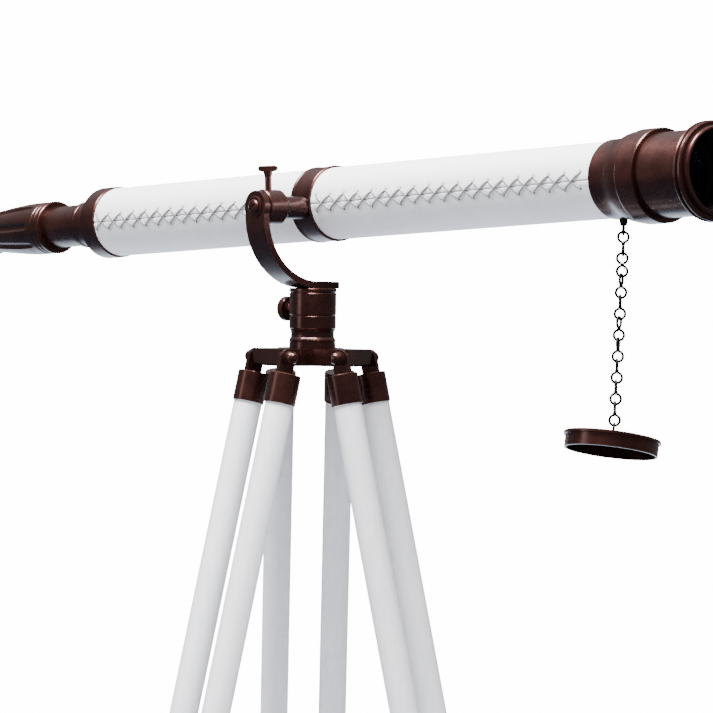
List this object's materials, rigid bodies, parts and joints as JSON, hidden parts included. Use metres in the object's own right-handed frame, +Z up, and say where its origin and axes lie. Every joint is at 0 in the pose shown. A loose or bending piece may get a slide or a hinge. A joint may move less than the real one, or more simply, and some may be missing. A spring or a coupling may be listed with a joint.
{
  "type": "tripod telescope",
  "caption": "Floor-standing draw-tube telescope with a leather-wrapped tube, one-sided yoke, chained dust cap and folding, extending wooden tripod.",
  "frame": {"origin": "on the floor, on the pan axis of the tripod head", "axes": "+X towards the objective, +Z up, +Y to the left of someone who looks through the eyepiece"},
  "size_m": [1.0237, 0.5398, 1.4711],
  "materials": {
    "antique_bronze": "polished antique bronze with worn edges",
    "dark_bronze": "blackened",
    "white_leather": "satin",
    "white_painted_wood": "satin white paint",
    "optical_glass": "polished",
    "black_paint": "matt black",
    "fibre": "matt fibre"
  },
  "bodies": {
    "tripod_head": {"hub_casting": "antique_bronze", "pillar_base": "antique_bronze", "pan_spindle": "antique_bronze", "spindle_nut_and_washer": "antique_bronze", "leg_pivot_bolts": "antique_bronze"},
    "yoke": {"pillar_sleeve": "antique_bronze", "yoke_arm": "antique_bronze", "trunnion_screw": "antique_bronze", "friction_washer": "fibre"},
    "pan_lock": {"pan_lock_knob": "antique_bronze"},
    "telescope": {"clamp_ring": "antique_bronze", "trunnion_boss": "antique_bronze", "main_tube": "antique_bronze", "leather_wrap_rear": "white_leather", "leather_wrap_front": "white_leather", "rear_collar": "antique_bronze", "draw_tube_bush": "antique_bronze", "objective_housing": "antique_bronze", "objective_barrel": "antique_bronze", "front_ring": "antique_bronze", "objective_cell": "black_paint", "objective_flint_lens": "optical_glass", "objective_crown_lens": "optical_glass", "lens_retaining_ring": "black_paint", "tube_baffles": "black_paint", "chain_eyelet": "dark_bronze"},
    "tilt_lock": {"tilt_lock_screw": "antique_bronze"},
    "focus_draw": {"draw_tube": "antique_bronze", "draw_stop_collar": "antique_bronze", "erector_cell": "black_paint", "erector_lenses": "optical_glass", "eyepiece_grip": "antique_bronze", "eyepiece_tube": "black_paint", "eyepiece_lenses": "optical_glass", "eye_cap": "black_paint"},
    "chain_upper": {"chain_upper_links": "dark_bronze"},
    "chain_lower": {"chain_lower_links": "dark_bronze"},
    "dust_cap": {"dust_cap": "antique_bronze", "cap_staple": "dark_bronze"},
    "leg_1": {"leg_1_ferrules": "antique_bronze", "leg_1_upper_poles": "white_painted_wood", "leg_1_lower_clamp": "antique_bronze"},
    "leg_1_lower": {"leg_1_lower_pole": "white_painted_wood", "leg_1_foot": "antique_bronze", "leg_1_pole_guide": "antique_bronze"},
    "leg_1_lock": {"leg_1_clamp_knob": "antique_bronze"},
    "leg_2": {"leg_2_ferrules": "antique_bronze", "leg_2_upper_poles": "white_painted_wood", "leg_2_lower_clamp": "antique_bronze"},
    "leg_2_lower": {"leg_2_lower_pole": "white_painted_wood", "leg_2_foot": "antique_bronze", "leg_2_pole_guide": "antique_bronze"},
    "leg_2_lock": {"leg_2_clamp_knob": "antique_bronze"},
    "leg_3": {"leg_3_ferrules": "antique_bronze", "leg_3_upper_poles": "white_painted_wood", "leg_3_lower_clamp": "antique_bronze"},
    "leg_3_lower": {"leg_3_lower_pole": "white_painted_wood", "leg_3_foot": "antique_bronze", "leg_3_pole_guide": "antique_bronze"},
    "leg_3_lock": {"leg_3_clamp_knob": "antique_bronze"}
  },
  "joints": [
    {"name": "pan", "type": "hinge", "parent": "tripod_head", "child": "yoke", "pos_m": [0, 0, 1.3286], "axis": [0, 0, 1], "continuous": true},
    {"name": "pan_lock_turn", "type": "hinge", "parent": "yoke", "child": "pan_lock", "pos_m": [0, 0, 1.31], "axis": [-0.9962, -0.0872, 0], "range_deg": [0, 360]},
    {"name": "tilt", "type": "hinge", "parent": "yoke", "child": "telescope", "pos_m": [0, -0.044, 1.3992], "axis": [0, -1, 0], "range_deg": [-36, 34]},
    {"name": "tilt_lock_turn", "type": "hinge", "parent": "telescope", "child": "tilt_lock", "pos_m": [0, -0.0515, 1.3992], "axis": [-0.0558, 0, 0.9984], "range_deg": [0, 360]},
    {"name": "focus", "type": "slide", "parent": "telescope", "child": "focus_draw", "axis": [-0.9984, 0, -0.0558], "range_m": [-0.039, 0.108]},
    {"name": "chain_swing", "type": "hinge", "parent": "telescope", "child": "chain_upper", "pos_m": [0.37727, 0.0182, 1.37884], "axis": [-0.766, 0.6428, 0], "range_deg": [-30, 30]},
    {"name": "chain_bend", "type": "hinge", "parent": "chain_upper", "child": "chain_lower", "pos_m": [0.3757, 0.01633, 1.29178], "axis": [0.866, 0.5, 0], "range_deg": [-30, 30]},
    {"name": "cap_swing", "type": "hinge", "parent": "chain_lower", "child": "dust_cap", "pos_m": [0.37413, 0.01446, 1.22191], "axis": [0.6428, 0.766, 0], "range_deg": [-30, 30]},
    {"name": "leg_1_fold", "type": "hinge", "parent": "tripod_head", "child": "leg_1", "pos_m": [0.03899, 0.01615, 1.2679], "axis": [-0.3827, 0.9239, 0], "range_deg": [0, 12.7]},
    {"name": "leg_1_slide", "type": "slide", "parent": "leg_1", "child": "leg_1_lower", "axis": [-0.2031, -0.0841, 0.9755], "range_m": [0, 0.5]},
    {"name": "leg_1_lock_turn", "type": "hinge", "parent": "leg_1", "child": "leg_1_lock", "pos_m": [0.19583, 0.08112, 0.59783], "axis": [0.9013, 0.3733, 0.2198], "range_deg": [0, 360]},
    {"name": "leg_2_fold", "type": "hinge", "parent": "tripod_head", "child": "leg_2", "pos_m": [-0.03348, 0.02569, 1.2679], "axis": [-0.6088, -0.7934, 0], "range_deg": [0, 12.7]},
    {"name": "leg_2_slide", "type": "slide", "parent": "leg_2", "child": "leg_2_lower", "axis": [0.1744, -0.1338, 0.9755], "range_m": [0, 0.5]},
    {"name": "leg_2_lock_turn", "type": "hinge", "parent": "leg_2", "child": "leg_2_lock", "pos_m": [-0.16816, 0.12904, 0.59783], "axis": [-0.7739, 0.5939, 0.2198], "range_deg": [0, 360]},
    {"name": "leg_3_fold", "type": "hinge", "parent": "tripod_head", "child": "leg_3", "pos_m": [-0.00551, -0.04184, 1.2679], "axis": [0.9914, -0.1305, 0], "range_deg": [0, 12.7]},
    {"name": "leg_3_slide", "type": "slide", "parent": "leg_3", "child": "leg_3_lower", "axis": [0.0287, 0.218, 0.9755], "range_m": [0, 0.5]},
    {"name": "leg_3_lock_turn", "type": "hinge", "parent": "leg_3", "child": "leg_3_lock", "pos_m": [-0.02767, -0.21015, 0.59783], "axis": [-0.1273, -0.9672, 0.2198], "range_deg": [0, 360]}
  ]
}
